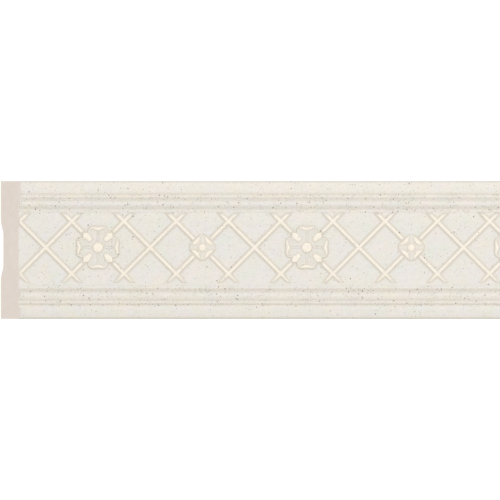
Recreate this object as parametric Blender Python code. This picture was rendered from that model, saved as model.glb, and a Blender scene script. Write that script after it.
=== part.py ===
"""A decorative wall moulding of extruded foam: moulded edges and a field of diamond lattice with rosettes.

It is one length in one piece, mitred at its left end and cut square at its right end. It is modelled lying on
its back and then stood against the wall: X runs along its length, Z up the wall, and its face looks to -Y.
The origin is on the back, in the middle of the upper glue land. Run it in Blender 4.5:
blender --background --python part.py
"""

import math

import bmesh
import bpy
from mathutils import Matrix, Vector

# Overall size, metres
LENGTH = 0.345
WIDTH = 0.095
THICKNESS = 0.014
MITRE_ANGLE = math.radians(45.0)

# Back: a flat glue land along each edge, with a shallow hollow between them
HOLLOW_WIDTH = 0.042
HOLLOW_FLOOR_WIDTH = 0.0193
HOLLOW_DEPTH = 0.002
LAND_CENTRE = 0.034

# Front profile, in order from each long edge to the field; levels are heights above the back
UPPER_EDGE_ROUND = 0.0010
LOWER_EDGE_ROUND = 0.0018
FASCIA_WIDTH = 0.0088
GROOVE_WIDTH = 0.0016
GROOVE_LEVEL = 0.0112
RIDGE_FOOT_LEVEL = 0.0118
RIDGE_WIDTH = 0.0013
RIDGE_LEVEL = 0.0124
BEAD_FOOT_LEVEL = 0.0117
BEAD_WIDTH = 0.0056
BEAD_LEVEL = 0.0138
QUIRK_WIDTH = 0.0013
QUIRK_LEVEL = 0.0121
FILLET_WIDTH = 0.0017
FILLET_LEVEL = 0.0133
FILLET_SLOPE_WIDTH = 0.0010
CREASE_LEVEL = 0.0123
CREASE_WIDTH = 0.0005
GROUND_LEVEL = 0.0125

# Lattice of bars at 45 degrees, whose crossings lie on a line a little above the moulding's middle
CROSSING_SPACING = 0.03595
FIRST_CROSSING = 0.0311
CROSSINGS_BEFORE_FIRST = 1
CROSSINGS_AFTER_FIRST = 9
LATTICE_RISE = 0.0017
LATTICE_HALF_HEIGHT = 0.0241
BAR_ANGLES = (math.radians(45.0), math.radians(135.0))
BAR_FOOT_HALF_WIDTH = 0.0024
BAR_SHOULDER_HALF_WIDTH = 0.0015
BAR_TOP_HALF_WIDTH = 0.0009
BAR_SHOULDER_RISE = 0.0010
BAR_TOP_RISE = 0.0014
BAR_END_SLOPE = 0.0012

# Large rosette: four petals up, down and across, four leaves on the diagonals, a button
LARGE_RADIUS = 0.0148
LARGE_CLEARANCE = 0.0150
LARGE_PETAL_HALF_WIDTH = 0.0068
LARGE_PETAL_CORNER = 0.0026
LARGE_PETAL_DIP = 0.0004
LARGE_BUTTON_RADIUS = 0.0035
LEAF_INNER = 0.0070
LEAF_OUTER = 0.0144
LEAF_HALF_WIDTH = 0.0021
LEAF_ROOT_RADIUS = 0.0015
LEAF_GAP = 0.0004
LIP_HALF_LENGTH = 0.0049
LIP_THICKNESS = 0.0025
LIP_OUTER = 0.0144

# Small rosette: an eight-sided flower with a crescent across each diagonal, a button
SMALL_RADIUS = 0.0092
SMALL_CLEARANCE = 0.0080
SMALL_TIP_HALF_WIDTH = 0.0018
SMALL_BUTTON_RADIUS = 0.0025
CRESCENT_HALF_LENGTH = 0.0045
CRESCENT_THICKNESS = 0.0021
CRESCENT_OUTER = 0.0071
LOBE_HALF_WIDTH = 0.0013
LOBE_START = 0.0010
LOBE_SETBACK = 0.0003

# How high the carving stands above the ground, and how deep each form is rooted in it
ROOT_DEPTH = 0.0010
CREST_RISE = 0.0015
RIM_RISE = 0.0010
DISH_RISE = 0.0006
LOBE_RISE = 0.0009
BUTTON_RISE = 0.0016

# Edges of the carved forms: (inset, rise) steps up from each outline at the ground
PETAL_EDGE = ((0.0, 0.0), (0.0003, RIM_RISE), (0.0007, RIM_RISE), (0.0014, DISH_RISE))
LEAF_EDGE = ((0.0, 0.0), (0.0002, RIM_RISE), (0.0008, CREST_RISE))
CRESCENT_EDGE = ((0.0, 0.0), (0.0, LOBE_RISE), (0.0006, CREST_RISE))
CRESCENT_TIP_INSET = 2.5
FLOWER_EDGE = ((0.0, 0.0), (0.0004, DISH_RISE))
FLOWER_TIP_INSET = 0.4
LOBE_EDGE = ((0.0, 0.0), (0.0, DISH_RISE), (0.0005, LOBE_RISE))

# Ends of the bars: (distance from the end, width, height), the last two as shares of the full bar
BAR_CUT_END = ((0.0, 1.0, 0.02), (BAR_END_SLOPE, 1.0, 1.0))
BAR_ROUND_END = ((0.0, 0.45, 0.25), (0.0004, 0.8, 0.8), (0.0012, 1.0, 1.0))

# How finely round stretches are cut into flats
EDGE_STEPS = 4
GROOVE_STEPS = 4
BEAD_STEPS = 10
HOLLOW_STEPS = 5
CORNER_STEPS = 4
NOTCH_STEPS = 6
CRESCENT_STEPS = 8
BUTTON_SIDES = 20
BUTTON_BANDS = 10

# How far the body that cuts the ends stands out beyond the section
TRIM_MARGIN = 0.01

PAINT_COLOUR = (0.82, 0.79, 0.73, 1.0)
PAINT_ROUGHNESS = 0.7


def clear_scene():
    for thing in list(bpy.data.objects):
        bpy.data.objects.remove(thing, do_unlink=True)


def paint():
    """Matt cream paint."""
    material = bpy.data.materials.new("cream_paint")
    material.use_nodes = True
    shader = material.node_tree.nodes["Principled BSDF"]
    shader.inputs["Base Color"].default_value = PAINT_COLOUR
    shader.inputs["Roughness"].default_value = PAINT_ROUGHNESS
    shader.inputs["Metallic"].default_value = 0.0
    return material


def arc(centre, radius, start, end, steps):
    """Points along a round stretch, with its angles in degrees."""
    angles = [math.radians(start + (end - start) * i / steps) for i in range(steps + 1)]
    return [(centre[0] + radius * math.cos(a), centre[1] + radius * math.sin(a)) for a in angles]


def swell(start, end, rise, steps):
    """The points after start on a half-round between two profile points; a hollow has a negative rise."""
    points = []
    for i in range(1, steps + 1):
        turn = math.pi * i / steps
        along = (1.0 - math.cos(turn)) / 2.0
        across = start[0] + (end[0] - start[0]) * along
        level = start[1] + (end[1] - start[1]) * along + rise * math.sin(turn)
        points.append((across, level))
    return points


def half_profile(edge_round):
    """Points of the front from one long edge, at 0, to the start of the ground: (distance in, level)."""
    ridge_start = (FASCIA_WIDTH + GROOVE_WIDTH, RIDGE_FOOT_LEVEL)
    ridge_end = (ridge_start[0] + RIDGE_WIDTH, RIDGE_FOOT_LEVEL)
    bead_start = (ridge_end[0] + GROOVE_WIDTH, BEAD_FOOT_LEVEL)
    bead_end = (bead_start[0] + BEAD_WIDTH, QUIRK_LEVEL)
    fillet_start = bead_end[0] + QUIRK_WIDTH
    fillet_end = fillet_start + FILLET_WIDTH
    crease = fillet_end + FILLET_SLOPE_WIDTH
    groove_drop = GROOVE_LEVEL - RIDGE_FOOT_LEVEL
    points = arc((edge_round, THICKNESS - edge_round), edge_round, 180.0, 90.0, EDGE_STEPS)
    points.append((FASCIA_WIDTH, THICKNESS))
    points += swell(points[-1], ridge_start, 2.0 * groove_drop, GROOVE_STEPS)
    points += swell(ridge_start, ridge_end, RIDGE_LEVEL - RIDGE_FOOT_LEVEL, GROOVE_STEPS)
    points += swell(ridge_end, bead_start, groove_drop, GROOVE_STEPS)
    points += swell(bead_start, bead_end, BEAD_LEVEL - (BEAD_FOOT_LEVEL + QUIRK_LEVEL) / 2.0, BEAD_STEPS)
    points += [(fillet_start, FILLET_LEVEL), (fillet_end, FILLET_LEVEL)]
    points += [(crease, CREASE_LEVEL), (crease + CREASE_WIDTH, GROUND_LEVEL)]
    return points


def back_profile():
    """Points of the hollow between the two flat glue lands, from the upper land to the lower one."""
    side_width = (HOLLOW_WIDTH - HOLLOW_FLOOR_WIDTH) / 2.0
    side = []
    for i in range(HOLLOW_STEPS + 1):
        along = i / HOLLOW_STEPS
        depth = HOLLOW_DEPTH * (1.0 - math.cos(math.pi * along)) / 2.0
        side.append((HOLLOW_WIDTH / 2.0 - side_width * along, depth))
    return side + [(-y, z) for y, z in reversed(side)]


def section_outline():
    """The whole cross-section as (distance up the wall, level) points, in one run round it."""
    half = WIDTH / 2.0
    lower = [(d - half, z) for d, z in half_profile(LOWER_EDGE_ROUND)]
    upper = [(half - d, z) for d, z in half_profile(UPPER_EDGE_ROUND)]
    return [(-half, 0.0)] + lower + list(reversed(upper)) + [(half, 0.0)] + back_profile()


def stack(mesh, rings):
    """Adds a closed body that joins a row of loops, each with the same number of points."""
    loops = [[mesh.verts.new(point) for point in ring] for ring in rings]
    count = len(loops[0])
    for below, above in zip(loops, loops[1:]):
        for i in range(count):
            j = (i + 1) % count
            mesh.faces.new((below[i], below[j], above[j], above[i]))
    mesh.faces.new(list(reversed(loops[0])))
    mesh.faces.new(loops[-1])


def placed(outline, level, turn, centre):
    """An outline of (x, y) points turned about a rosette's centre and set at a level."""
    spin = Matrix.Rotation(turn, 3, "Z")
    return [spin @ Vector((x, y, 0.0)) + Vector((centre[0], centre[1], level)) for x, y in outline]


def raise_form(mesh, outline, steps, turn, centre):
    """Adds a form over outline(inset): rooted in the ground, then one loop for each (inset, rise) step."""
    rings = [placed(outline(0.0), GROUND_LEVEL - ROOT_DEPTH, turn, centre)]
    rings += [placed(outline(inset), GROUND_LEVEL + rise, turn, centre) for inset, rise in steps]
    stack(mesh, rings)


def petals_outline(inset):
    """Four broad petals in one outline, with a round-ended notch for a leaf on each diagonal."""
    half_width = LARGE_PETAL_HALF_WIDTH - inset
    radius = LARGE_RADIUS - inset
    corner = LARGE_PETAL_CORNER - inset
    notch = LEAF_HALF_WIDTH + LEAF_GAP + inset
    notch_centre = (LEAF_INNER + LEAF_HALF_WIDTH) / math.sqrt(2.0)
    side = half_width + notch * math.sqrt(2.0)
    quarter = arc((notch_centre, notch_centre), notch, 315.0, 135.0, NOTCH_STEPS)
    quarter.append((half_width, side))
    quarter += arc((half_width - corner, radius - corner), corner, 0.0, 90.0, CORNER_STEPS)
    quarter.append((0.0, radius - LARGE_PETAL_DIP))
    quarter += arc((corner - half_width, radius - corner), corner, 90.0, 180.0, CORNER_STEPS)
    quarter.append((-half_width, side))
    return four_times(quarter)


def four_times(quarter):
    """A quarter's points repeated at each quarter turn, anticlockwise."""
    return [
        (x * c - y * s, x * s + y * c)
        for c, s in ((1, 0), (0, 1), (-1, 0), (0, -1))
        for x, y in quarter
    ]


def leaf_outline(inset):
    """A leaf along +X: a round root and a squared outer end."""
    half_width = LEAF_HALF_WIDTH - inset
    outer = LEAF_OUTER - inset
    root = LEAF_ROOT_RADIUS - inset
    shoulder = outer - half_width
    return (
        [(outer, 0.0), (shoulder, half_width)]
        + arc((LEAF_INNER + LEAF_ROOT_RADIUS, 0.0), root, 90.0, 270.0, NOTCH_STEPS)
        + [(shoulder, -half_width)]
    )


def crescent_outline(half_length, thickness, outer, bell, inset):
    """A crescent across +X: its outer edge is straight, its inner edge swells towards the centre."""
    length = half_length - CRESCENT_TIP_INSET * inset
    depth = thickness - 2.0 * inset
    ends = [-length + 2.0 * length * i / CRESCENT_STEPS for i in range(CRESCENT_STEPS + 1)]
    swelling = [(outer - inset - depth * math.cos(math.pi * y / (2.0 * length)) ** bell, y) for y in ends]
    return [(outer - inset, y) for y in ends] + list(reversed(swelling))[1:-1]


def flower_outline(inset):
    """The small rosette's eight-sided base, with short flats up, down and across."""
    tip = SMALL_TIP_HALF_WIDTH - FLOWER_TIP_INSET * inset
    radius = SMALL_RADIUS - inset
    return four_times([(tip, radius), (-tip, radius)])


def lobe_outline(inset):
    """A narrow petal along +X between two crescents, with its tip cut off."""
    half_width = LOBE_HALF_WIDTH - inset
    outer = SMALL_RADIUS - LOBE_SETBACK - inset
    return [(LOBE_START, -half_width), (outer, -half_width), (outer, half_width), (LOBE_START, half_width)]


def button(mesh, radius, centre):
    """A low round dome, the top half of a squashed ball rooted in the ground."""
    shape = Matrix.Translation((centre[0], centre[1], GROUND_LEVEL)) @ Matrix.Diagonal(
        (radius, radius, BUTTON_RISE, 1.0)
    )
    bmesh.ops.create_uvsphere(
        mesh, u_segments=BUTTON_SIDES, v_segments=BUTTON_BANDS, radius=1.0, matrix=shape
    )


def lip_outline(inset):
    """The rolled lip along a large petal's outer edge, with an inner edge like a bell."""
    return crescent_outline(LIP_HALF_LENGTH, LIP_THICKNESS, LIP_OUTER, 2.0, inset)


def small_crescent_outline(inset):
    """The crescent across a small rosette's diagonal, with a round inner edge."""
    return crescent_outline(CRESCENT_HALF_LENGTH, CRESCENT_THICKNESS, CRESCENT_OUTER, 1.0, inset)


def large_rosette(mesh, centre):
    raise_form(mesh, petals_outline, PETAL_EDGE, 0.0, centre)
    for i in range(4):
        across = i * math.pi / 2.0
        raise_form(mesh, leaf_outline, LEAF_EDGE, across + math.pi / 4.0, centre)
        raise_form(mesh, lip_outline, CRESCENT_EDGE, across, centre)
    button(mesh, LARGE_BUTTON_RADIUS, centre)


def small_rosette(mesh, centre):
    raise_form(mesh, flower_outline, FLOWER_EDGE, 0.0, centre)
    for i in range(4):
        across = i * math.pi / 2.0
        raise_form(mesh, small_crescent_outline, CRESCENT_EDGE, across + math.pi / 4.0, centre)
        raise_form(mesh, lobe_outline, LOBE_EDGE, across, centre)
    button(mesh, SMALL_BUTTON_RADIUS, centre)


def bar_section(width_share, height_share):
    """A bar's section, as (across, rise) points."""
    foot = BAR_FOOT_HALF_WIDTH * width_share
    shoulder = BAR_SHOULDER_HALF_WIDTH * width_share
    top = BAR_TOP_HALF_WIDTH * width_share
    low = BAR_SHOULDER_RISE * height_share
    high = BAR_TOP_RISE * height_share
    right = [(foot, -ROOT_DEPTH), (foot, 0.0), (shoulder, low), (top, high)]
    return right + [(-across, rise) for across, rise in reversed(right)]


def bar(mesh, centre, angle, start, end):
    """A lattice bar between two distances from a crossing; an end at the field's edge is cut along X."""
    along = Vector((math.cos(angle), math.sin(angle), 0.0))
    across = Vector((-math.sin(angle), math.cos(angle), 0.0))
    ground = Vector((centre[0], centre[1], GROUND_LEVEL))
    rings = []
    for place, inward in ((start, 1.0), (end, -1.0)):
        at_edge = abs(place) == bar_reach(angle)
        slant = 1.0 / math.tan(angle) if at_edge else 0.0
        steps = BAR_CUT_END if at_edge else BAR_ROUND_END
        for inset, width_share, height_share in steps[:: int(inward)]:
            rings.append(
                [
                    ground
                    + along * (place + inward * inset - slant * offset)
                    + across * offset
                    + Vector((0.0, 0.0, rise))
                    for offset, rise in bar_section(width_share, height_share)
                ]
            )
    stack(mesh, rings)


def bar_reach(angle):
    """How far a bar runs from a crossing to the field's edge."""
    return LATTICE_HALF_HEIGHT / math.sin(angle)


def lattice_and_rosettes():
    """The carving: bars through every crossing, and a rosette at every other one, large and small in turn."""
    mesh = bmesh.new()
    for k in range(-CROSSINGS_BEFORE_FIRST, CROSSINGS_AFTER_FIRST + 1):
        centre = (FIRST_CROSSING - LENGTH / 2.0 + k * CROSSING_SPACING, LATTICE_RISE)
        large = k % 4 == 1
        small = k % 4 == 3
        for angle in BAR_ANGLES:
            reach = bar_reach(angle)
            if large or small:
                clear = LARGE_CLEARANCE if large else SMALL_CLEARANCE
                bar(mesh, centre, angle, -reach, -clear)
                bar(mesh, centre, angle, clear, reach)
            else:
                bar(mesh, centre, angle, -reach, reach)
        if large:
            large_rosette(mesh, centre)
        elif small:
            small_rosette(mesh, centre)
    bmesh.ops.recalc_face_normals(mesh, faces=mesh.faces)
    return mesh


def length_of(outline, left, right):
    """A length with the given section: left and right give the ends' places from a point's level."""
    mesh = bmesh.new()
    stack(mesh, [[(place(z), y, z) for y, z in outline] for place in (left, right)])
    bmesh.ops.recalc_face_normals(mesh, faces=mesh.faces)
    return mesh


def make_object(name, mesh):
    data = bpy.data.meshes.new(name)
    mesh.to_mesh(data)
    mesh.free()
    thing = bpy.data.objects.new(name, data)
    bpy.context.scene.collection.objects.link(thing)
    return thing


def make_guide(name, mesh):
    """A shape that only a Boolean uses."""
    guide = make_object(name, mesh)
    guide.display_type = "WIRE"
    guide.hide_render = True
    return guide


def combine(target, operation, guide):
    modifier = target.modifiers.new(guide.name, "BOOLEAN")
    modifier.operation = operation
    modifier.solver = "EXACT"
    modifier.use_self = operation == "UNION"
    modifier.object = guide


def trim_outline():
    """A plain rectangle a little larger than the section, for the body that cuts the ends."""
    half = WIDTH / 2.0 + TRIM_MARGIN
    top = THICKNESS + TRIM_MARGIN
    return [(-half, -TRIM_MARGIN), (half, -TRIM_MARGIN), (half, top), (-half, top)]


def main():
    clear_scene()
    half = LENGTH / 2.0
    spare = 2.0 * CROSSING_SPACING
    moulding = make_object(
        "moulding", length_of(section_outline(), lambda z: -half - spare, lambda z: half + spare)
    )
    carving = make_guide("carving", lattice_and_rosettes())
    ends = make_guide(
        "ends", length_of(trim_outline(), lambda z: z * math.tan(MITRE_ANGLE) - half, lambda z: half)
    )
    combine(moulding, "UNION", carving)
    combine(moulding, "INTERSECT", ends)
    moulding.data.materials.append(paint())
    for thing in (moulding, carving, ends):
        thing.rotation_euler = (math.pi / 2.0, 0.0, 0.0)
        thing.location = (0.0, 0.0, -LAND_CENTRE)


main()
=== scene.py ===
"""The wall moulding dressed for its picture: full carving, speckled paint and cream on the crests.

The shapes are worked out in millimetres on the moulding's own axes and then set in the frame: along runs
with the length and up with the width, both from the middle, and level is the height above the back.
"""

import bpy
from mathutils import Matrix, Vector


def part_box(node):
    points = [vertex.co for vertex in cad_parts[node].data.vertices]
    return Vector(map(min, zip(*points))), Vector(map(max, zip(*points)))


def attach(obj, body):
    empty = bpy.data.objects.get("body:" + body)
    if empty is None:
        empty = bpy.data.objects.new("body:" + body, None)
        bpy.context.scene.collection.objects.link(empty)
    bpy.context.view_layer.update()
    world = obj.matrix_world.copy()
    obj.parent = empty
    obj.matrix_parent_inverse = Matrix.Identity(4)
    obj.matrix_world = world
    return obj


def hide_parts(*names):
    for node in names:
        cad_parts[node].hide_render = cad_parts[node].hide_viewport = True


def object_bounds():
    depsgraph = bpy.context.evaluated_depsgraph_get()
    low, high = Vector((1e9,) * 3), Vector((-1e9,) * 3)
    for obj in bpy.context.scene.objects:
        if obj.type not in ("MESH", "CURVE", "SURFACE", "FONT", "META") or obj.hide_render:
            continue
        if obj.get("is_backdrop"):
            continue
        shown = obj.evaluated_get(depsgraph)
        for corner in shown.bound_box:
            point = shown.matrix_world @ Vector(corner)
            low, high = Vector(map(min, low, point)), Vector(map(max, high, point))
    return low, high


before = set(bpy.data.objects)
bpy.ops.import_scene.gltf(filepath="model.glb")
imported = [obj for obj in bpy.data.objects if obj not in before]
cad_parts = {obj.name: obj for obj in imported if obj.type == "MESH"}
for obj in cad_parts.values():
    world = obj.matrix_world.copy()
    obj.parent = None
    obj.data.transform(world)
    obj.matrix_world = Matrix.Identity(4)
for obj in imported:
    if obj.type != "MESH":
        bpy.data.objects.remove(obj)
cad_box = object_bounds()

import copy
import math

import bmesh
import bpy
import numpy as np
from mathutils import Vector
from mathutils.geometry import delaunay_2d_cdt

# Overall size, from the frame
MM = 0.001
LOW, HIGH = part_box("moulding")
LENGTH = (HIGH.x - LOW.x) / MM
WIDTH = (HIGH.z - LOW.z) / MM
MIDDLE = (HIGH + LOW) / 2.0

# Ends and back, millimetres
MITRE_ANGLE = math.radians(45.0)
HOLLOW_WIDTH = 42.0
HOLLOW_FLOOR_WIDTH = 19.3
HOLLOW_DEPTH = 1.8

# Section of the front, millimetres: knots of a smooth curve from a long edge inwards, each of them the
# distance in, the level and the slope there
FACE_LEVEL = 14.0
UPPER_EDGE = ((0.0, 10.8, 8.0), (0.42, 13.25, 1.4), (1.2, 13.9, 0.15), (2.2, FACE_LEVEL, 0.0))
LOWER_EDGE = ((0.0, 8.8, 10.0), (0.45, 12.7, 1.6), (1.6, 13.8, 0.2), (4.2, FACE_LEVEL, 0.0))
FASCIA = ((6.2, FACE_LEVEL, 0.0), (7.8, 13.82, -0.3))
GROOVES = ((8.5, 13.42, -1.0), (9.6, 12.2, 0.0), (10.8, 13.05, 0.0), (12.8, 11.65, 0.0))
BEAD = (
    (13.7, 12.55, 0.8), (15.3, 13.65, 0.4), (16.2, 13.87, 0.0), (17.4, 13.3, -0.65), (19.25, 12.1, -0.1),
)
FILLET = ((20.6, 13.0, 0.0), (21.0, 12.95, -0.2), (22.1, 12.48, 0.0), (23.3, 12.5, 0.0))
GROUND_LEVEL = 12.5
GROUND_MARGIN = 0.6

# Lattice of bars at 45 degrees; its rise is measured from the middle of the width, and its top and
# bottom from the crossings
CROSSING_SPACING = 35.95
FIRST_CROSSING = 31.1
CROSSINGS_BEFORE_FIRST = 1
CROSSINGS_AFTER_FIRST = 9
LATTICE_RISE = 1.7
LATTICE_TOP = 23.9
LATTICE_BOTTOM = -24.3
BAR_HALF_WIDTH = 2.5
BAR_END_CORNER = 0.8
BAR_END_HIDDEN = 1.0
# How the bars run out at the field's edges: distance from the closing line, highest rise, highest tone,
# the strength of the wash and painted shade, and the warm tint. The capped tone and the warm tint paint
# shade on the bars' ends.
UPPER_BAR_ENDS = (
    (-0.6, -0.6, -0.1, 1.0, 0.0),
    (0.0, 0.0, -0.5, 1.0, 0.0),
    (0.3, 0.55, -0.9, 1.0, 0.0),
    (0.95, 0.75, -0.8, 1.0, 0.0),
    (1.5, 0.9, 0.3, 1.0, 0.0),
    (1.8, 0.95, 1.0, 1.0, 0.0),
    (9.0, 1.0, 1.0, 1.0, 0.0),
)
LOWER_BAR_ENDS = (
    (-0.6, -0.6, -0.1, 0.6, 0.0),
    (0.0, 0.0, -0.25, 0.6, 0.1),
    (0.45, 0.45, -0.2, 0.7, 0.2),
    (0.9, 0.6, 0.6, 0.75, 0.15),
    (1.2, 0.65, 1.0, 0.8, 0.12),
    (2.2, 0.68, 1.0, 0.85, 0.1),
    (3.6, 0.72, 1.0, 0.9, 0.18),
    (5.0, 0.8, 1.0, 0.95, 0.16),
    (6.0, 0.82, 1.0, 0.95, 0.06),
    (9.0, 1.0, 1.0, 1.0, 0.0),
)
# Half-widths of a bar's end, on the sides away from and towards its partner, and the length of its taper
UPPER_BAR_END_SIDES = (2.2, 2.1, 5.5)
LOWER_BAR_END_SIDES = (1.45, 1.98, 9.5)

# Every fourth crossing carries a large rosette, and the second one after it a small one
ROSETTE_CYCLE = 4
LARGE_TURN = 1
SMALL_TURN = 3
QUARTER_TURN = math.pi / 2.0
EIGHTH_TURN = math.pi / 4.0

# Large rosette
LARGE_RADIUS = 14.85
LARGE_CLEARANCE = 13.5
LARGE_PETAL_HALF_WIDTH = 7.1
LARGE_PETAL_CORNER = 3.75
LARGE_PETAL_DIP = 0.32
LARGE_BUTTON_RADIUS = 3.5
LEAF_INNER = 6.45
LEAF_OUTER = 14.4
LEAF_HALF_WIDTH = 2.2
LEAF_ROOT_RADIUS = 1.65
VEIN_INNER = 4.4
VEIN_OUTER = 10.4
VEIN_ROOT_RADIUS = 0.95
VEIN_TIP_HALF_WIDTH = 0.55
# The lip over each petal's edge: (distance across the petal, its inner edge, its outer edge)
LIP = (
    (0.0, 11.7, 13.68), (0.7, 11.8, 13.72), (1.4, 12.0, 13.87), (2.1, 12.3, 13.98), (2.8, 12.6, 14.05),
    (3.5, 12.85, 14.02), (4.2, 13.0, 13.94), (4.9, 13.05, 13.7), (5.4, 13.0, 13.4),
)

# Small rosette
SMALL_RADIUS = 9.02
SMALL_CLEARANCE = 6.6
SMALL_TIP_HALF_WIDTH = 2.05
SMALL_BUTTON_RADIUS = 2.5
CRESCENT_HALF_LENGTH = 4.7
CRESCENT_THICKNESS = 2.85
CRESCENT_OUTER = 7.2
CRESCENT_BOW = 0.6
LOBE_HALF_WIDTH = 1.4
LOBE_START = 1.0
LOBE_SETBACK = 0.35

# How each form climbs inwards from its outline: (inset, rise above the ground, tone). A tone of 1 is
# cream, 0 the plain coat and -1 a warm wash beside the crests, partly real paint and partly painted shade
# on the flanks, at the feet and in the hollows.
BAR_STEPS = (
    (-0.6, -0.6, 0.0), (-0.1, -0.12, -0.25), (0.3, 0.08, -0.65), (0.65, 0.25, -1.0), (1.0, 0.45, -1.0),
    (1.35, 0.64, -0.9), (1.6, 0.76, -0.35), (1.8, 0.84, 0.4), (2.0, 0.89, 0.85), (2.2, 0.91, 1.0),
    (2.44, 0.92, 1.0),
)
PETAL_STEPS = (
    (-0.9, -0.9, -0.1), (-0.5, -0.4, -0.6), (-0.15, 0.05, -1.0), (0.2, 0.5, -1.0), (0.4, 0.8, -0.45),
    (0.6, 0.95, 0.25), (0.85, 0.96, 0.15), (1.15, 0.84, -0.5), (1.5, 0.7, -0.5), (2.2, 0.58, -0.4),
    (4.2, 0.56, -0.3), (6.0, 0.56, -0.05),
)
LIP_STEPS = (
    (-1.15, -0.7, 0.0), (-0.7, -0.5, -0.75), (-0.15, -0.3, -0.9), (0.0, 0.5, -0.7), (0.1, 0.85, 0.0),
    (0.22, 1.1, 0.8), (0.4, 1.23, 0.95), (0.7, 1.29, 0.95), (1.1, 1.33, 0.95), (1.7, 1.35, 0.95),
)
CRESCENT_STEPS = (
    (-0.7, -0.5, 0.0), (-0.15, -0.3, -0.4), (0.0, 0.5, -0.35), (0.12, 0.85, 0.1), (0.3, 1.1, 0.7),
    (0.5, 1.23, 0.95), (0.8, 1.29, 0.95), (1.4, 1.35, 0.95),
)
LEAF_STEPS = (
    (-2.2, -1.4, 0.0), (-1.3, -0.8, -0.45), (-0.6, 0.0, -0.7), (-0.15, 0.4, -1.0), (0.0, 0.6, -0.75),
    (0.12, 0.9, 0.0), (0.25, 1.08, 0.75), (0.45, 1.2, 0.85), (0.8, 1.28, 0.85), (1.3, 1.33, 0.85),
    (1.8, 1.35, 0.85),
)
BUTTON_STEPS = (
    (-1.0, -0.9, 0.0), (-0.6, -0.6, -0.8), (-0.15, -0.3, -1.0), (0.0, 0.35, -0.8), (0.12, 0.8, 0.0),
    (0.3, 1.15, 0.8), (0.6, 1.33, 0.88), (1.1, 1.43, 0.88), (1.8, 1.5, 0.88), (2.6, 1.53, 0.88),
)
FLOWER_STEPS = (
    (-0.8, -0.9, 0.0), (-0.4, -0.4, -0.5), (-0.1, 0.0, -0.82), (0.3, 0.36, -0.75), (0.55, 0.52, -0.6),
    (0.85, 0.58, -0.5), (1.2, 0.6, -0.35),
)
LOBE_STEPS = (
    (-0.6, -0.5, 0.0), (-0.2, -0.2, -0.8), (0.0, 0.35, -0.6), (0.2, 0.65, -0.25), (0.45, 0.78, -0.1),
    (0.8, 0.85, -0.05), (1.35, 0.87, -0.05),
)
# The same for what is carved in, with the depth in place of the rise; their tones paint shade in the
# hollows
VEIN_STEPS = (
    (-0.5, 0.0, 0.0), (-0.25, 0.14, -0.15), (0.0, 0.5, -0.4), (0.15, 0.5, -0.4), (0.4, 0.14, -0.1),
    (0.8, 0.06, 0.0),
)
RING_STEPS = (
    (-1.5, 0.0, 0.0), (-0.7, 0.1, -0.5), (-0.2, 0.22, -0.8), (0.0, 0.22, -0.8), (0.3, 0.22, -0.8),
)
# The rise where nothing is carved, and how widely two surfaces that meet are blended
UNDER_GROUND = -2.0
BLEND = 0.22

# The rises from which a point counts as a crest and as carved at all; the wash and painted shade beside a
# form stay off crests and are thinner on what is carved
CREST_FOOT = 0.88
CARVING_FOOT = 0.3
THIN_WASH_AND_SHADE = 0.75
# A warmer, darker tint on the rosettes' flat petals, which fades towards their outline
LARGE_PETAL_TINT = 0.08
SMALL_PETAL_TINT = 0.24
TINT_FADE = 1.2
# Painted light and shade over the section: how the coat's tone changes, lighter on the upper fascia, the
# ridges, the beads and the upper fillet, darker round the long edges, on the lower fascia and fillet and
# in the grooves and quirks, as (distance in from the long edge, tone)
UPPER_PAINTED_SHADING = (
    (0.0, -1.0), (0.65, -1.0), (1.05, -0.2), (1.8, 0.35), (6.5, 0.27), (7.5, 0.25), (8.8, 0.45),
    (9.6, 0.2), (10.9, 0.5), (11.6, 0.1), (12.3, 0.08), (12.9, -0.5), (13.6, -0.3), (14.3, 0.15),
    (15.2, 0.2), (16.0, 0.0), (17.0, -0.15), (17.8, -0.35), (18.5, -0.25), (19.1, -0.68),
    (19.8, -0.05), (20.4, 0.2), (22.8, 0.3), (23.5, 0.2), (30.0, 0.05), (47.5, 0.0),
)
LOWER_PAINTED_SHADING = (
    (0.0, -1.0), (0.7, -1.0), (1.0, -0.35), (1.5, -0.33), (4.0, -0.25), (7.5, -0.1), (8.5, 0.3),
    (9.2, 0.3), (10.0, -0.6), (10.9, -0.55), (11.6, 0.5), (12.3, -0.1), (12.8, -0.4), (13.6, 0.42),
    (15.5, 0.35), (16.5, 0.2), (17.2, 0.2), (18.5, -0.45), (19.2, -0.6), (19.9, -0.15), (20.6, -0.65),
    (21.3, -0.55), (21.8, 0.0), (22.5, 0.0), (23.1, -0.4), (23.8, 0.1), (25.5, 0.15), (27.0, 0.1),
    (47.5, 0.0),
)
# How thickly the speckles lie over the section, (distance in, amount), and the part that full cream hides
GRIT = (
    (0.0, 0.37), (8.3, 0.37), (9.3, 1.15), (13.3, 1.15), (14.5, 0.95), (17.4, 0.95), (18.4, 1.25),
    (20.4, 1.25), (23.4, 0.32), (47.5, 0.32),
)
CREAM_OVER_GRIT = 0.5

# How finely the mesh is divided, and how much too long it is before its ends are cut, millimetres
OUTLINE_STEP = 0.4
BAR_STEP = 2.4
LONG_STEP = 5.0
GROUND_STEP = 3.0
ARC_STEP = 0.22
CURVE_STEP = 0.2
DIP_STEPS = 12
BACK_STEPS = 8
MERGE_DISTANCE = 0.012
END_MARGIN = 6.0
# The decimals that rows are told apart by, and the distance within which a point is on a plane
ROW_DECIMALS = 4
TOLERANCE = 0.001
# What keeps an outline's sharp corners from moving too far when it is inset, and how true the distance
# of a point that is kept has to be
CORNER_LIMIT = 0.3
INSET_TOLERANCE = 0.03
SHARP_ANGLE = math.radians(50.0)

# The moulding's finishes, by their place in its list
PAINTED = 0
CUT = 1
BACK = 2

# The bake map: two strips hold the front's halves, a column beside them the back and the cut ends. A face
# belongs to an end where its normal leans along the length by more than a limit.
STRIP_SCALE = 0.00403
STRIP_WIDTH = 121.0
MAP_GAP = 0.006
COLUMN_SCALE = 0.0026
END_LEAN = 0.5

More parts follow.
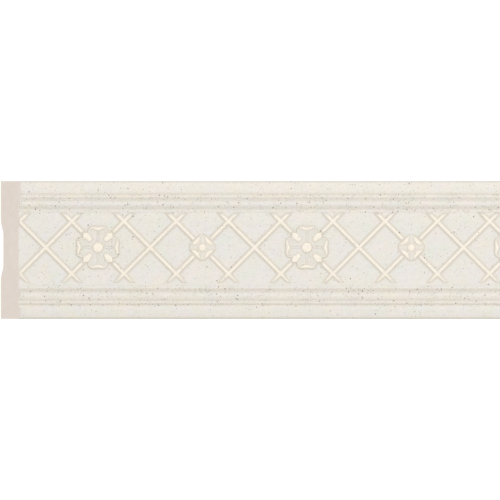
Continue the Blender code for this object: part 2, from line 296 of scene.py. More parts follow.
# Colours in 0 to 255, as a screen shows them
COAT = (235, 231, 224)
PINKISH_COAT = (241, 230, 226)
GREENISH_COAT = (229, 232, 220)
YELLOWISH_COAT = (237, 231, 213)
GREYISH_COAT = (233, 230, 231)
DULL_COAT = (226, 222, 215)
PALE_COAT = (248, 245, 240)
# A warm wash, partly real paint and partly painted shade beside the crests and in the hollows
WARM_WASH_AND_PAINTED_SHADE = (224, 216, 202)
CREAM = (254, 245, 230)
DEEP_CREAM = (250, 240, 224)
# A warm tint, on the flat petals and as painted shade on the lower bars' ends
WARM_TINT_AND_SHADE = (232, 220, 196)
FINE_GRAIN = (190, 180, 164)
FOAM = (232, 220, 210)
PALE_FOAM = (234, 223, 214)
FOAM_CELLS = (226, 213, 200)
SKIN = (231, 220, 208)
PALE_SKIN = (236, 226, 216)
SKIN_STREAKS = (222, 210, 196)
# The shade painted into the skin's pits
SKIN_PIT_SHADE = (206, 192, 176)
FLOOR_GREY = (236, 236, 234)
PALE_FLOOR_GREY = (240, 240, 238)
# How much of the pale tint lies over the whole coat
PALENESS = 0.14

# How rough each finish is, before it varies
PAINT_ROUGHNESS = 0.62
FOAM_ROUGHNESS = 0.8
SKIN_ROUGHNESS = 0.5
FLOOR_ROUGHNESS = 0.7

# The paint's speckles: (spacing, radius, how far they hide the coat, colour), millimetres
DUST = (0.9, 0.16, 0.5, (145, 132, 114))
GRAINS = (1.55, 0.34, 0.85, (125, 112, 94))
FLAKES = (3.4, 0.52, 0.95, (104, 92, 76))
SPECKLE_CORE = 0.6
# The foam's cells, and how the streaks on its skin are drawn out along the length
FOAM_CELL = 0.42
STREAK_SCALE = (0.03, 1.0, 1.0)

# Camera, millimetres: far off and square on, so that the picture is close to a plain elevation
LENS = 1000.0
SENSOR_WIDTH = 36.0
PICTURE_WIDTH = 344.2
PICTURE_CENTRE = -0.74
MEASURED_LEVEL = 10.0

# Light and floor, metres
WHITE = (1.0, 1.0, 1.0, 1.0)
SURROUND_STRENGTH = 0.895
BACKDROP_STRENGTH = 1.1
KEY_PLACE = (0.5, -1.45, 0.6)
KEY_SIZE = (1.0, 0.6)
KEY_WATTS = 4.0
FLOOR_DROP = 0.25
FLOOR_SIZE = 4.0


def arc(centre, radius, start, end):
    """Points along an arc between two angles in degrees, as many as its length asks for."""
    steps = max(3, round(abs(math.radians(end - start)) * radius / ARC_STEP))
    angles = [math.radians(start + (end - start) * i / steps) for i in range(steps + 1)]
    return [(centre[0] + radius * math.cos(a), centre[1] + radius * math.sin(a)) for a in angles]


def smooth_curve(knots):
    """Points on a smooth curve through knots of (distance, level, slope)."""
    points = [knots[0][:2]]
    for (start, low, climb), (end, high, leaving) in zip(knots, knots[1:]):
        run = end - start
        parts = max(2, round(run / CURVE_STEP)) if low != high else 1
        for i in range(1, parts + 1):
            t = i / parts
            level = low * (1.0 + 2.0 * t) * (1.0 - t) ** 2 + high * t * t * (3.0 - 2.0 * t)
            level += run * t * (1.0 - t) * (climb * (1.0 - t) - leaving * t)
            points.append((start + run * t, level))
    return points


def half_profile(edge):
    """Points of the front from one long edge, at 0, to the ground: (distance in, level)."""
    points = smooth_curve(edge + FASCIA + GROOVES + BEAD + FILLET)
    return points + [(points[-1][0] + GROUND_MARGIN, GROUND_LEVEL)]


def front_profile():
    """The whole front as (up, level) points, from the lower edge to the upper one."""
    half = WIDTH / 2.0
    lower = [(distance - half, level) for distance, level in half_profile(LOWER_EDGE)]
    upper = [(half - distance, level) for distance, level in half_profile(UPPER_EDGE)]
    return np.array(lower + upper[::-1])


def back_profile():
    """The back as (up, level) points, from the upper edge to the lower one: two lands and a hollow."""
    side_width = (HOLLOW_WIDTH - HOLLOW_FLOOR_WIDTH) / 2.0
    side = [(WIDTH / 2.0, 0.0)]
    for i in range(BACK_STEPS + 1):
        share = i / BACK_STEPS
        depth = HOLLOW_DEPTH * (1.0 - math.cos(math.pi * share)) / 2.0
        side.append((HOLLOW_WIDTH / 2.0 - side_width * share, depth))
    return np.array(side + [(-up, level) for up, level in side[::-1]])


def closely_spaced(outline, step):
    """A closed outline with extra points, so that none of its stretches is longer than a step."""
    points = []
    for start, end in zip(outline, np.roll(outline, -1, axis=0)):
        parts = max(1, math.ceil(np.hypot(*(end - start)) / step))
        points += [start + (end - start) * i / parts for i in range(parts)]
    return np.array(points)


def inset_from(points, outline):
    """How far inside a closed outline each point lies; outside it the distance is negative."""
    nearest = np.full(len(points), np.inf)
    inside = np.zeros(len(points), bool)
    for start, end in zip(outline, np.roll(outline, -1, axis=0)):
        run = end - start
        apart = points - start
        share = np.clip(apart @ run / (run @ run), 0.0, 1.0)
        nearest = np.minimum(nearest, ((apart - share[:, None] * run) ** 2).sum(axis=1))
        if run[1] != 0.0:
            passes = (start[1] > points[:, 1]) != (end[1] > points[:, 1])
            inside ^= passes & (apart[:, 0] < run[0] * apart[:, 1] / run[1])
    return np.where(inside, 1.0, -1.0) * np.sqrt(nearest)


def smooth_max(first, second):
    """The higher of two surfaces, with the valley between them filled a little."""
    near = np.maximum(0.0, 1.0 - np.abs(first - second) / BLEND)
    return np.maximum(first, second) + BLEND / 4.0 * near**2


class Form:
    """One carved form: its outline on the ground, and how its surface climbs or sinks inwards from it."""

    def __init__(self, outline, steps, spacing=OUTLINE_STEP, carved_in=False, warm_tint_and_shade=0.0):
        self.outline = closely_spaced(np.array(outline), spacing)
        self.insets, self.rises, self.tones = zip(*steps)
        self.carved_in = carved_in
        self.warm_tint_and_shade = warm_tint_and_shade

    def placed(self, angle, centre, mirrored=False):
        """The same form turned, mirrored left to right if asked, and set at its place."""
        c, s = math.cos(angle), math.sin(angle)
        form = copy.copy(self)
        form.outline = self.outline @ np.array([[c, s], [-s, c]])
        if mirrored:
            form.outline = form.outline[::-1] * np.array((-1.0, 1.0))
        form.outline = form.outline + np.array(centre)
        return form

    def lines(self):
        """Lines that follow the outline at each step's inset, left out where the form is too narrow."""
        after = np.roll(self.outline, -1, axis=0) - self.outline
        after /= np.hypot(*after.T)[:, None]
        both = after + np.roll(after, 1, axis=0)
        inward = np.stack([-both[:, 1], both[:, 0]], axis=1)
        across = np.stack([-after[:, 1], after[:, 0]], axis=1)
        inward /= np.maximum((inward * across).sum(axis=1), CORNER_LIMIT)[:, None]
        for inset in self.insets:
            moved = self.outline + inward * inset
            kept = np.abs(inset_from(moved, self.outline) - inset) < INSET_TOLERANCE
            yield moved, kept

    def shape(self, points, rise, tone, warm_tint_and_shade):
        """Works the form into the rises, tones and warm tints of points on the ground, and paints shade
        beside it and in its hollows.
        """
        low = self.outline.min(axis=0) + min(self.insets)
        high = self.outline.max(axis=0) - min(self.insets)
        near = np.nonzero(((points > low) & (points < high)).all(axis=1))[0]
        inset = inset_from(points[near], self.outline)
        near, inset = near[inset > self.insets[0]], inset[inset > self.insets[0]]
        step = np.interp(inset, self.insets, self.rises)
        coat = np.interp(inset, self.insets, self.tones)
        # Below a tone of 0 the forms paint shade round their feet and in what is carved in
        coat = np.where((inset < 0.0) & (rise[near] > CARVING_FOOT), coat * THIN_WASH_AND_SHADE, coat)
        washed_and_shaded = ((inset < 0.0) | self.carved_in) & (rise[near] < CREST_FOOT)
        tone[near[washed_and_shaded]] = np.minimum(tone[near[washed_and_shaded]], coat[washed_and_shaded])
        if self.carved_in:
            rise[near] -= step
            return
        covers = np.clip((step - rise[near]) / BLEND + 0.5, 0.0, 1.0) * (inset >= 0.0)
        tone[near] += (coat - tone[near]) * covers
        warm_tint_and_shade[near] += (self.warm_tint_and_shade * np.clip(inset / TINT_FADE, 0.0, 1.0) - warm_tint_and_shade[near]) * covers
        rise[near] = smooth_max(rise[near], step)


def four_times(quarter):
    """A quarter's points repeated at each quarter turn, anticlockwise."""
    return [
        (x * c - y * s, x * s + y * c)
        for c, s in ((1, 0), (0, 1), (-1, 0), (0, -1))
        for x, y in quarter
    ]


def petals_outline():
    """Four broad petals in one outline, which meet under the leaves and dip at their ends."""
    half_width = LARGE_PETAL_HALF_WIDTH
    corner = LARGE_PETAL_CORNER
    flat = half_width - corner
    quarter = [(half_width, half_width)]
    quarter += arc((flat, LARGE_RADIUS - corner), corner, 0.0, 90.0)
    for i in range(1, DIP_STEPS):
        across = flat * (1.0 - 2.0 * i / DIP_STEPS)
        dip = LARGE_PETAL_DIP * math.cos(math.pi * across / flat / 2.0) ** 2
        quarter.append((across, LARGE_RADIUS - dip))
    return four_times(quarter + arc((-flat, LARGE_RADIUS - corner), corner, 90.0, 180.0))


def leaf_outline():
    """A leaf along the first axis: a round root and a pointed outer end."""
    shoulder = LEAF_OUTER - LEAF_HALF_WIDTH
    root = arc((LEAF_INNER + LEAF_ROOT_RADIUS, 0.0), LEAF_ROOT_RADIUS, 90.0, 270.0)
    return [(LEAF_OUTER, 0.0), (shoulder, LEAF_HALF_WIDTH)] + root + [(shoulder, -LEAF_HALF_WIDTH)]


def lip_outline():
    """A bowed lip across the first axis, with tails that follow the petal's corners."""
    ends = LIP[:0:-1]
    outer = [(edge, -across) for across, _, edge in ends] + [(edge, across) for across, _, edge in LIP]
    inner = [(edge, across) for across, edge, _ in ends] + [(edge, -across) for across, edge, _ in LIP]
    return outer + inner


def vein_outline():
    """A slender spike along the first axis: a round root that tapers to a narrow tip."""
    root = arc((VEIN_INNER + VEIN_ROOT_RADIUS, 0.0), VEIN_ROOT_RADIUS, 90.0, 270.0)
    return [(VEIN_OUTER, -VEIN_TIP_HALF_WIDTH), (VEIN_OUTER, VEIN_TIP_HALF_WIDTH)] + root


def button_outline(radius):
    """A circle about the rosette's centre."""
    return arc((0.0, 0.0), radius, 0.0, 360.0)[:-1]


def flower_outline():
    """The small rosette's eight-sided base, with short flats up, down and across."""
    return four_times([(SMALL_TIP_HALF_WIDTH, SMALL_RADIUS), (-SMALL_TIP_HALF_WIDTH, SMALL_RADIUS)])


def lobe_outline():
    """A narrow petal along the first axis between two crescents, with its tip cut off."""
    start = LOBE_START
    end = SMALL_RADIUS - LOBE_SETBACK
    half_width = LOBE_HALF_WIDTH
    return [(start, -half_width), (end, -half_width), (end, half_width), (start, half_width)]


def crescent_outline():
    """A crescent across the first axis: its outer edge is hardly bowed, its inner one swells inwards."""
    steps = round(2.0 * CRESCENT_HALF_LENGTH / OUTLINE_STEP)
    tips = CRESCENT_OUTER - CRESCENT_BOW
    outer, inner = [], []
    for i in range(steps + 1):
        along = 2.0 * i / steps - 1.0
        across = along * CRESCENT_HALF_LENGTH
        swell = math.cos(math.pi * along / 2.0)
        outer.append((CRESCENT_OUTER - CRESCENT_BOW * along**2, across))
        inner.append((tips - (CRESCENT_THICKNESS - CRESCENT_BOW) * swell, across))
    return outer + inner[::-1][1:-1]


def bar_outline(start, end, closed_start, closed_end):
    """A bar between two distances from its crossing; a closed end is cut level at the field's edge."""
    points = []
    for place, inward, closed in ((start, 1, closed_start), (end, -1, closed_end)):
        if closed:
            away, towards, taper = UPPER_BAR_END_SIDES if inward < 0 else LOWER_BAR_END_SIDES
            right, left = (away, towards) if inward < 0 else (towards, away)
            widest = place + inward * taper
            tip = [(place + right, -right), (place - left, left)]
        else:
            widest = place + inward * BAR_END_CORNER
            flat = BAR_HALF_WIDTH - BAR_END_CORNER
            tip = [(place, -flat), (place, flat)]
        side = [(widest, -BAR_HALF_WIDTH)] + tip + [(widest, BAR_HALF_WIDTH)]
        points += side[::-inward]
    return points


def crossings():
    """Each crossing's turn in the cycle of rosettes, and its place on the front."""
    for number in range(-CROSSINGS_BEFORE_FIRST, CROSSINGS_AFTER_FIRST + 1):
        along = FIRST_CROSSING - LENGTH / 2.0 + number * CROSSING_SPACING
        yield number % ROSETTE_CYCLE, (along, LATTICE_RISE)


def lattice():
    """The bars' forms: they run through plain crossings and stop short of the rosettes."""
    low = (LATTICE_BOTTOM - BAR_END_HIDDEN) * math.sqrt(2.0)
    high = (LATTICE_TOP + BAR_END_HIDDEN) * math.sqrt(2.0)
    forms = []
    for turn, centre in crossings():
        clear = {LARGE_TURN: LARGE_CLEARANCE, SMALL_TURN: SMALL_CLEARANCE}.get(turn)
        if clear is None:
            outlines = [bar_outline(low, high, True, True)]
        else:
            outlines = [bar_outline(low, -clear, True, False), bar_outline(clear, high, False, True)]
        for outline in outlines:
            bar = Form(outline, BAR_STEPS, BAR_STEP)
            forms += [bar.placed(EIGHTH_TURN, centre, mirrored) for mirrored in (False, True)]
    return forms


def rosettes():
    """The rosettes' forms, each after those that it stands on."""
    petals = Form(petals_outline(), PETAL_STEPS, warm_tint_and_shade=LARGE_PETAL_TINT)
    vein = Form(vein_outline(), VEIN_STEPS, carved_in=True)
    ring = Form(button_outline(LARGE_BUTTON_RADIUS), RING_STEPS, carved_in=True)
    leaf = Form(leaf_outline(), LEAF_STEPS)
    lip = Form(lip_outline(), LIP_STEPS)
    large_button = Form(button_outline(LARGE_BUTTON_RADIUS), BUTTON_STEPS)
    flower = Form(flower_outline(), FLOWER_STEPS, warm_tint_and_shade=SMALL_PETAL_TINT)
    lobe = Form(lobe_outline(), LOBE_STEPS, warm_tint_and_shade=SMALL_PETAL_TINT)
    crescent = Form(crescent_outline(), CRESCENT_STEPS)
    small_button = Form(button_outline(SMALL_BUTTON_RADIUS), BUTTON_STEPS)
    square = [i * QUARTER_TURN for i in range(4)]
    slanting = [angle + EIGHTH_TURN for angle in square]
    forms = []
    for turn, centre in crossings():
        if turn == LARGE_TURN:
            forms.append(petals.placed(0.0, centre))
            forms += [vein.placed(angle, centre) for angle in square]
            forms.append(ring.placed(0.0, centre))
            forms += [leaf.placed(angle, centre) for angle in slanting]
            forms += [lip.placed(angle, centre) for angle in square]
            forms.append(large_button.placed(0.0, centre))
        elif turn == SMALL_TURN:
            forms.append(flower.placed(0.0, centre))
            forms += [lobe.placed(angle, centre) for angle in square]
            forms += [crescent.placed(angle, centre) for angle in slanting]
            forms.append(small_button.placed(0.0, centre))
    return forms


FRONT = front_profile()
BARS = lattice()
ROSETTES = rosettes()


def carving(points):
    """The carving's rise above the ground at each point, its tone, with painted shade beside its forms,
    and its warm tint.
    """
    rise = np.full(len(points), UNDER_GROUND)
    tone = np.zeros(len(points))
    warm_tint_and_shade = np.zeros(len(points))
    for bar in BARS:
        bar.shape(points, rise, tone, warm_tint_and_shade)
    up = points[:, 1] - LATTICE_RISE
    # At the field's edges the bars' ends are shaded with paint: a capped tone and a warm tint
    for left, ends in ((LATTICE_TOP - up, UPPER_BAR_ENDS), (up - LATTICE_BOTTOM, LOWER_BAR_ENDS)):
        places, highest, palest, washes_and_shades, tints_and_shades = np.array(ends).T
        warm_tint_and_shade += np.interp(left, places, tints_and_shades) * np.clip(rise / CARVING_FOOT, 0.0, 1.0)
        tone = np.where(tone < 0.0, tone * np.interp(left, places, washes_and_shades), tone)
        tone = np.where(rise > CARVING_FOOT, np.minimum(tone, np.interp(left, places, palest)), tone)
        tone *= np.clip(1.0 - left / places[0], 0.0, 1.0)
        rise = np.minimum(rise, np.interp(left, places, highest))
    for form in ROSETTES:
        form.shape(points, rise, tone, warm_tint_and_shade)
    return rise, tone, warm_tint_and_shade


def front_level(points):
    """The front's level at each (along, up) point, from its profile and the carving."""
    rise, _, _ = carving(points)
    return smooth_max(np.interp(points[:, 1], FRONT[:, 0], FRONT[:, 1]), GROUND_LEVEL + rise)


def paint_shares(points):
    """What the paint's coats depend on at points on the front, by name."""
    _, tone, warm_tint_and_shade = carving(points)
    distance = WIDTH / 2.0 - np.abs(points[:, 1])
    # Painted light and shade over the section, added to the carving's tone
    upper = np.interp(distance, *np.array(UPPER_PAINTED_SHADING).T)
    lower = np.interp(distance, *np.array(LOWER_PAINTED_SHADING).T)
    tone = np.clip(tone + np.where(points[:, 1] > 0.0, upper, lower), -1.0, 1.0)
    grit = np.interp(distance, *np.array(GRIT).T) * (1.0 - CREAM_OVER_GRIT * np.clip(tone, 0.0, 1.0))
    return {"tone": tone, "grit": grit, "warm_tint_and_shade": warm_tint_and_shade}


class Net:
    """Points and the lines that join them, which the front's triangles follow."""

    def __init__(self):
        self.points = []
        self.lines = []

    def run(self, points):
        """A line through points in turn."""
        first = len(self.points)
        self.points += [Vector(point) for point in points]
        self.lines += [(i, i + 1) for i in range(first, len(self.points) - 1)]

    def loop(self, points, kept):
        """A closed line through points, broken where one isn't kept."""
        first = len(self.points)
        count = len(points)
        places = np.cumsum(kept) - 1 + first
        self.points += [Vector(point) for point in points[kept]]
        for i in range(count):
            j = (i + 1) % count
            if kept[i] and kept[j]:
                self.lines.append((int(places[i]), int(places[j])))


def ground_spots(edge):
    """Staggered points on the plain ground, clear of the carving."""
    spots = []
    for row in range(1, round((LATTICE_TOP - LATTICE_BOTTOM) / GROUND_STEP)):
        shift = GROUND_STEP / 2.0 * (row % 2) + GROUND_STEP / 3.0
        alongs = np.arange(-edge + shift, edge, GROUND_STEP)
        places = np.stack([alongs, np.full(len(alongs), LATTICE_BOTTOM + row * GROUND_STEP)], axis=1)
        spots += [Vector(place) for place in places[carving(places)[0] <= UNDER_GROUND]]
    return spots


def front_triangles(half_run):
    """The front seen square on, cut into triangles along every edge and step of its forms."""
    net = Net()
    columns = np.linspace(-half_run, half_run, 2 * round(half_run / LONG_STEP) + 1)
    closings = [LATTICE_RISE + LATTICE_TOP - place for place, *_ in UPPER_BAR_ENDS]
    closings += [LATTICE_RISE + LATTICE_BOTTOM + place for place, *_ in LOWER_BAR_ENDS]
    ups = np.unique(np.round(np.concatenate([FRONT[:, 0], closings]), ROW_DECIMALS))
    for up in ups:
        net.run([(along, up) for along in columns])
    for along in (columns[0], 0.0, columns[-1]):
        net.run([(along, up) for up in ups])
    edge = half_run - OUTLINE_STEP
    for form in BARS + ROSETTES:
        for points, kept in form.lines():
            net.loop(points, kept & (np.abs(points[:, 0]) < edge))
    net.points += ground_spots(edge)
    corners, _, faces, *_ = delaunay_2d_cdt(net.points, net.lines, [], 0, MERGE_DISTANCE)
    return np.array(corners), faces, columns


def long_edge(front, side):
    """The front's corners on one long edge, from left to right."""
    row = [vert for vert in front if abs(vert.co.y - side * WIDTH / 2.0) < TOLERANCE]
    return sorted(row, key=lambda vert: vert.co.x)


def close_back(mesh, front, columns):
    """Closes the mesh from the upper long edge, round the back, to the lower one."""
    rows = [long_edge(front, 1.0)]
    for up, level in back_profile():
        rows.append([mesh.verts.new((along, up, level)) for along in columns])
    rows.append(long_edge(front, -1.0))
    # The first and last strips are the moulding's sides, which are painted like its front
    for number, (above, below) in enumerate(zip(rows, rows[1:])):
        finish = PAINTED if number in (0, len(rows) - 2) else BACK
        for corners in zip(above, above[1:], below[1:], below):
            mesh.faces.new(corners).material_index = finish


def cut_end(mesh, place, direction):
    """Cuts the length square or on the slant, and closes the end with bare foam."""
    everything = mesh.verts[:] + mesh.edges[:] + mesh.faces[:]
    bmesh.ops.bisect_plane(mesh, geom=everything, plane_co=place, plane_no=direction, clear_outer=True)
    on_cut = {vert for vert in mesh.verts if abs((vert.co - place).dot(direction)) < TOLERANCE}
    loose = [edge for edge in mesh.edges if edge.is_boundary and on_cut.issuperset(edge.verts)]
    filled = bmesh.ops.edgeloop_fill(mesh, edges=loose)["faces"]
    for face in bmesh.ops.triangulate(mesh, faces=filled, ngon_method="EAR_CLIP")["faces"]:
        face.material_index = CUT
        face.smooth = False


def moulding_body():
    """The whole moulding as one closed mesh, in millimetres: (along, up, level)."""
    corners, faces, columns = front_triangles(LENGTH / 2.0 + END_MARGIN)
    levels = front_level(corners)
    mesh = bmesh.new()
    front = [mesh.verts.new((along, up, level)) for (along, up), level in zip(corners, levels)]
    for face in faces:
        mesh.faces.new([front[i] for i in face])
    close_back(mesh, front, columns)
    bmesh.ops.recalc_face_normals(mesh, faces=mesh.faces)
    for face in mesh.faces:
        face.smooth = True
    slant = Vector((-1.0, 0.0, math.tan(MITRE_ANGLE))).normalized()
    cut_end(mesh, Vector((-LENGTH / 2.0, 0.0, 0.0)), slant)
    cut_end(mesh, Vector((LENGTH / 2.0, 0.0, 0.0)), Vector((1.0, 0.0, 0.0)))
    bmesh.ops.recalc_face_normals(mesh, faces=mesh.faces)
    return mesh


def map_place(face, vert):
    """Where a face's corner lies on the bake map."""
    along, up, level = vert.co
    middle = face.calc_center_median()
    if face.material_index == PAINTED:
        strip = 0 if middle.x < 0.0 else 1
        fold = (UPPER_EDGE if up > 0.0 else LOWER_EDGE)[0][1]
        over = max(0.0, fold - level) if WIDTH / 2.0 - abs(up) < TOLERANCE else 0.0
        across = STRIP_WIDTH * (0.5 + strip) + up + math.copysign(over, up)
        start = along + LENGTH / 2.0 * (1 - strip)
        return MAP_GAP + start * STRIP_SCALE, MAP_GAP + across * STRIP_SCALE
    across = 2.0 * MAP_GAP + STRIP_SCALE * LENGTH / 2.0 + (up + WIDTH / 2.0) * COLUMN_SCALE
    if abs(face.normal.x) < END_LEAN:
        return across, MAP_GAP + (along + LENGTH / 2.0) * COLUMN_SCALE
    floor_line = 2.0 * MAP_GAP + LENGTH * COLUMN_SCALE
    if middle.x > 0.0:
        return across, floor_line + MAP_GAP + (level + FACE_LEVEL / math.cos(MITRE_ANGLE)) * COLUMN_SCALE
    return across, floor_line + level / math.cos(MITRE_ANGLE) * COLUMN_SCALE


def dressed_moulding(finishes):
    """The moulding's shown piece, with its finishes in their order."""
    mesh = moulding_body()
    bake_map = mesh.loops.layers.uv.new("OFBake")
    for face in mesh.faces:
        for loop in face.loops:
            loop[bake_map].uv = map_place(face, loop.vert)
    places = np.array([vert.co for vert in mesh.verts])
    shares = paint_shares(places[:, :2])
    data = bpy.data.meshes.new("painted_moulding")
    mesh.to_mesh(data)
    mesh.free()
    along, up, level = places.T * MM
    set_out = np.stack([MIDDLE.x + along, HIGH.y - level, MIDDLE.z + up], axis=1)
    data.vertices.foreach_set("co", set_out.astype(np.float32).ravel())
    data.update()
    for name, values in shares.items():
        data.attributes.new(name, "FLOAT", "POINT").data.foreach_set("value", values.astype(np.float32))
    for finish in finishes:
        data.materials.append(finish)
    data.set_sharp_from_angle(angle=SHARP_ANGLE)
    piece = bpy.data.objects.new("painted_moulding", data)
    bpy.context.scene.collection.objects.link(piece)
    return piece


class Quantity:
    """A number or colour that changes over a surface, on which Python's signs work."""

    def __init__(self, finish, socket):
        self.finish = finish
        self.socket = socket

    def worked(self, operation, *terms):
        """What a Math node makes of its terms."""
        return self.finish.node("ShaderNodeMath", {"operation": operation}, dict(enumerate(terms)))

    def __add__(self, other):
        return self.worked("ADD", self, other)

    def __radd__(self, other):
        return self.worked("ADD", other, self)

    def __sub__(self, other):
        return self.worked("SUBTRACT", self, other)

    def __rsub__(self, other):
        return self.worked("SUBTRACT", other, self)

    def __mul__(self, other):
        return self.worked("MULTIPLY", self, other)

    def __rmul__(self, other):
        return self.worked("MULTIPLY", other, self)

    def __lt__(self, other):
        return self.worked("LESS_THAN", self, other)


class Finish:
    """A material that is being put together from nodes."""

    def __init__(self, name):
        self.material = bpy.data.materials.new(name)
        self.material.use_nodes = True
        self.tree = self.material.node_tree
        self.shader = self.tree.nodes["Principled BSDF"]

    def join(self, value, socket):
        """Links a socket to a quantity, or sets it to a number or a colour."""
        if isinstance(value, Quantity):
            self.tree.links.new(value.socket, socket)
        else:
            socket.default_value = value

    def node(self, kind, settings, sockets, output=0):
        """One output of a new node, after its settings and then its sockets' values or links are set."""
        node = self.tree.nodes.new(kind)
        for name, value in settings.items():
            setattr(node, name, value)
        for name, value in sockets.items():
            self.join(value, node.inputs[name])
        return Quantity(self, node.outputs[output])

    def place(self):
        """The place on the piece in millimetres."""
        metres = self.node("ShaderNodeTexCoord", {}, {}, "Object")
        return self.node("ShaderNodeVectorMath", {"operation": "SCALE"}, {0: metres, "Scale": 1.0 / MM})

    def share(self, name):
        """One of the shares kept with the piece's points."""
        return self.node("ShaderNodeAttribute", {"attribute_name": name}, {}, "Fac")

    def noise(self, place, size, detail=2.0, roughness=0.5):
        """Soft noise about 0.5, with patches of the given size in millimetres."""
        sockets = {"Vector": place, "Scale": 1.0 / size, "Detail": detail, "Roughness": roughness}
        return self.node("ShaderNodeTexNoise", {}, sockets, "Fac")

    def cells(self, place, size, output):
        """Random cells of the given size in millimetres, as the named output of their node."""
        sockets = {"Vector": place, "Scale": 1.0 / size, "Randomness": 1.0}
        return self.node("ShaderNodeTexVoronoi", {"voronoi_dimensions": "3D"}, sockets, output)

    def ramp(self, value, start, end, low=0.0, high=1.0):
        """A value eased from low to high as it goes from start to end."""
        sockets = {"Value": value, "From Min": start, "From Max": end, "To Min": low, "To Max": high}
        return self.node("ShaderNodeMapRange", {"interpolation_type": "SMOOTHSTEP"}, sockets)

    def mix(self, share, first, second):
        """A share of the second colour mixed into the first."""
        settings = {"data_type": "RGBA", "clamp_factor": True}
        return self.node("ShaderNodeMix", settings, {0: share, 6: first, 7: second}, 2)

    def speckles(self, place, cell, radius, kept):
        """Round dots, one at most in each cell, of which a share is kept."""
        away = self.cells(place, cell, "Distance")
        chance = self.cells(place, cell, "Color")
        draw = self.node("ShaderNodeSeparateColor", {}, {"Color": chance}, "Red")
        dot = self.ramp(away * cell, radius, radius * SPECKLE_CORE)
        return dot * (draw < kept)

    def bump(self, height, strength, distance):
        """A fine relief in the surface, with its distance in millimetres."""
        sockets = {"Height": height, "Strength": strength, "Distance": distance * MM}
        return self.node("ShaderNodeBump", {}, sockets)

    def coat(self, colour, roughness, normal):
        """The finished material, with its colour, roughness and bump joined to the shader."""
        self.join(colour, self.shader.inputs["Base Color"])
        self.join(roughness, self.shader.inputs["Roughness"])
        self.join(normal, self.shader.inputs["Normal"])
        return self.material


def colour_of(shade):
    """A colour from its shade in 0 to 255."""
    return tuple(((part / 255.0 + 0.055) / 1.055) ** 2.4 for part in shade) + (1.0,)


def mottled_coat(finish, place, cloud):
    """The plain coat: warm white, with faint patches that lean to other tints."""
    patches = finish.noise(place, size=14.0, detail=4.0, roughness=0.6)
    warmth = finish.noise(place, size=9.0, detail=4.0, roughness=0.65)
    coat = finish.mix(finish.ramp(patches, 0.5, 0.7), colour_of(COAT), colour_of(PINKISH_COAT))
    coat = finish.mix(finish.ramp(patches, 0.5, 0.3), coat, colour_of(GREENISH_COAT))
    coat = finish.mix(finish.ramp(warmth, 0.5, 0.7, high=0.8), coat, colour_of(YELLOWISH_COAT))
    coat = finish.mix(finish.ramp(warmth, 0.5, 0.3, high=0.8), coat, colour_of(GREYISH_COAT))
    coat = finish.mix(finish.ramp(cloud, 0.35, 0.7, high=0.35), coat, colour_of(DULL_COAT))
    return finish.mix(PALENESS, coat, colour_of(PALE_COAT))


def speckled(finish, place, coat, kind, kept):
    """A coat with one kind of speckle strewn over it, and where those speckles are."""
    spacing, radius, hides, shade = kind
    dots = finish.speckles(place, spacing, radius, kept)
    return finish.mix(dots * hides, coat, colour_of(shade)), dots


def speckled_paint():
    """Matt warm-white paint with grey-brown grit, cream on the crests, a warm wash and painted shade
    beside them, and painted light and shade over the section.
    """
    finish = Finish("speckled_paint")
    place = finish.place()
    tone = finish.share("tone")
    # Tone above 0 gives the crests' cream paint and the section's painted light; below 0 the warm wash
    # and painted shade
    cream = finish.ramp(tone, 0.0, 1.0)
    wash_and_shade = finish.ramp(tone, 0.0, -1.0)
    cloud = finish.noise(place, size=3.0, detail=4.0, roughness=0.6)
    grain = finish.ramp(finish.noise(place, size=1.1, detail=3.0, roughness=0.7), 0.45, 0.85)
    grit = finish.share("grit") * finish.ramp(finish.noise(place, size=16.0), 0.4, 0.6, low=0.6, high=1.4)
    ground = finish.mix(wash_and_shade, mottled_coat(finish, place, cloud), colour_of(WARM_WASH_AND_PAINTED_SHADE))
    crest = finish.mix(finish.ramp(cloud, 0.3, 0.75), colour_of(CREAM), colour_of(DEEP_CREAM))
    coat = finish.mix(cream, ground, crest)
    # The warm tint of the petals, which on the lower bars' ends is painted shade
    coat = finish.mix(finish.share("warm_tint_and_shade"), coat, colour_of(WARM_TINT_AND_SHADE))
    coat = finish.mix(grain * (grit * 0.3 + 0.3), coat, colour_of(FINE_GRAIN))
    coat, _ = speckled(finish, place, coat, DUST, kept=grit * 0.4 + 0.3)
    coat, grains = speckled(finish, place, coat, GRAINS, kept=grit * 0.45)
    coat, flakes = speckled(finish, place, coat, FLAKES, kept=grit * grit * 0.75)
    texture = finish.noise(place, size=0.5)
    relief = texture * (1.0 - cream * 0.6) + (grains + flakes) * 0.5
    roughness = PAINT_ROUGHNESS - cream * 0.1 + (cloud - 0.5) * 0.15 + (grains + flakes) * 0.1
    return finish.coat(coat, roughness, finish.bump(relief, strength=0.35, distance=0.05))


def bare_foam():
    """The cut foam of the ends: beige, with fine closed cells."""
    finish = Finish("bare_foam")
    place = finish.place()
    cells = finish.cells(place, FOAM_CELL, "Distance")
    cloud = finish.noise(place, size=5.0, detail=3.0)
    foam = finish.mix(finish.ramp(cloud, 0.3, 0.7), colour_of(FOAM), colour_of(PALE_FOAM))
    foam = finish.mix(finish.ramp(cells, 0.45, 0.1, high=0.2), foam, colour_of(FOAM_CELLS))
    relief = finish.bump(cells, strength=0.2, distance=0.05)
    return finish.coat(foam, FOAM_ROUGHNESS - cloud * 0.1, relief)


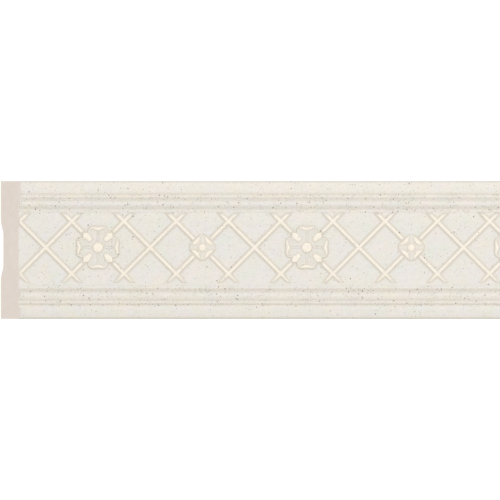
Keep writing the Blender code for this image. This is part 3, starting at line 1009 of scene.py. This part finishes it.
def moulded_skin():
    """The unpainted back: the foam's own tight skin, with faint streaks along it and a few pits, darkened
    with painted shade.
    """
    finish = Finish("moulded_skin")
    place = finish.place()
    sockets = {0: place, 1: STREAK_SCALE}
    drawn_out = finish.node("ShaderNodeVectorMath", {"operation": "MULTIPLY"}, sockets)
    streaks = finish.noise(drawn_out, size=1.6, detail=3.0, roughness=0.6)
    cloud = finish.noise(place, size=22.0, detail=3.0)
    pits = finish.speckles(place, cell=5.0, radius=0.45, kept=0.3)
    skin = finish.mix(finish.ramp(cloud, 0.3, 0.7), colour_of(SKIN), colour_of(PALE_SKIN))
    skin = finish.mix(finish.ramp(streaks, 0.45, 0.75, high=0.5), skin, colour_of(SKIN_STREAKS))
    # The pits are darkened with painted shade
    skin = finish.mix(pits * 0.5, skin, colour_of(SKIN_PIT_SHADE))
    relief = streaks * 0.6 - pits * 0.8
    roughness = SKIN_ROUGHNESS + streaks * 0.15
    return finish.coat(skin, roughness, finish.bump(relief, strength=0.3, distance=0.08))


def pale_floor():
    """A matt grey floor, faintly clouded."""
    finish = Finish("pale_floor")
    cloud = finish.noise(finish.place(), size=60.0, detail=3.0)
    colour = finish.mix(cloud, colour_of(FLOOR_GREY), colour_of(PALE_FLOOR_GREY))
    relief = finish.bump(cloud, strength=0.1, distance=0.1)
    return finish.coat(colour, FLOOR_ROUGHNESS + cloud * 0.1, relief)


def floor():
    """A plain floor well below the moulding, which hangs as it would on its wall."""
    data = bpy.data.meshes.new("floor")
    half = FLOOR_SIZE / 2.0
    level = LOW.z - FLOOR_DROP
    corners = [(-half, -half, level), (half, -half, level), (half, half, level), (-half, half, level)]
    data.from_pydata(corners, [], [(0, 1, 2, 3)])
    data.materials.append(pale_floor())
    thing = bpy.data.objects.new("floor", data)
    bpy.context.scene.collection.objects.link(thing)
    thing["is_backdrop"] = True


def aimed(thing, place, target):
    """Puts a camera or a light at its place and turns it to its target."""
    thing.location = place
    thing.rotation_euler = (Vector(target) - Vector(place)).to_track_quat("-Z", "Y").to_euler()
    bpy.context.scene.collection.objects.link(thing)
    return thing


def camera():
    """The picture's viewpoint: square on to the face, level with the moulding's middle."""
    data = bpy.data.cameras.new("camera")
    data.lens = LENS
    data.sensor_width = SENSOR_WIDTH
    away = PICTURE_WIDTH * MM * LENS / SENSOR_WIDTH
    data.clip_end = 2.0 * away
    face = HIGH.y - MEASURED_LEVEL * MM
    target = (MIDDLE.x + PICTURE_CENTRE * MM, face, MIDDLE.z)
    place = (target[0], face - away, target[2])
    bpy.context.scene.camera = aimed(bpy.data.objects.new("camera", data), place, target)


def lights():
    """A white surround with a brighter backdrop, and one big soft light in front and above."""
    world = bpy.data.worlds.new("surround")
    world.use_nodes = True
    nodes, links = world.node_tree.nodes, world.node_tree.links
    surround = nodes["Background"]
    backdrop = nodes.new("ShaderNodeBackground")
    for glow, strength in ((surround, SURROUND_STRENGTH), (backdrop, BACKDROP_STRENGTH)):
        glow.inputs["Color"].default_value = WHITE
        glow.inputs["Strength"].default_value = strength
    rays = nodes.new("ShaderNodeLightPath")
    either = nodes.new("ShaderNodeMixShader")
    links.new(rays.outputs["Is Camera Ray"], either.inputs[0])
    links.new(surround.outputs[0], either.inputs[1])
    links.new(backdrop.outputs[0], either.inputs[2])
    links.new(either.outputs[0], nodes["World Output"].inputs["Surface"])
    bpy.context.scene.world = world
    key = bpy.data.lights.new("key", "AREA")
    key.shape = "RECTANGLE"
    key.size, key.size_y = KEY_SIZE
    key.energy = KEY_WATTS
    aimed(bpy.data.objects.new("key", key), KEY_PLACE, MIDDLE).visible_camera = False


def main():
    """Sets up the picture, dresses the moulding, hangs it on the frame's root in place of the packed part
    and measures both their boxes.
    """
    bpy.context.scene.view_settings.view_transform = "Standard"
    camera()
    lights()
    floor()
    moulding = dressed_moulding((speckled_paint(), bare_foam(), moulded_skin()))
    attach(moulding, "root")
    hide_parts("moulding")
    boxes = {"cad": cad_box, "visual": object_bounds()}
    {name: [list(corner) for corner in box] for name, box in boxes.items()}


main()
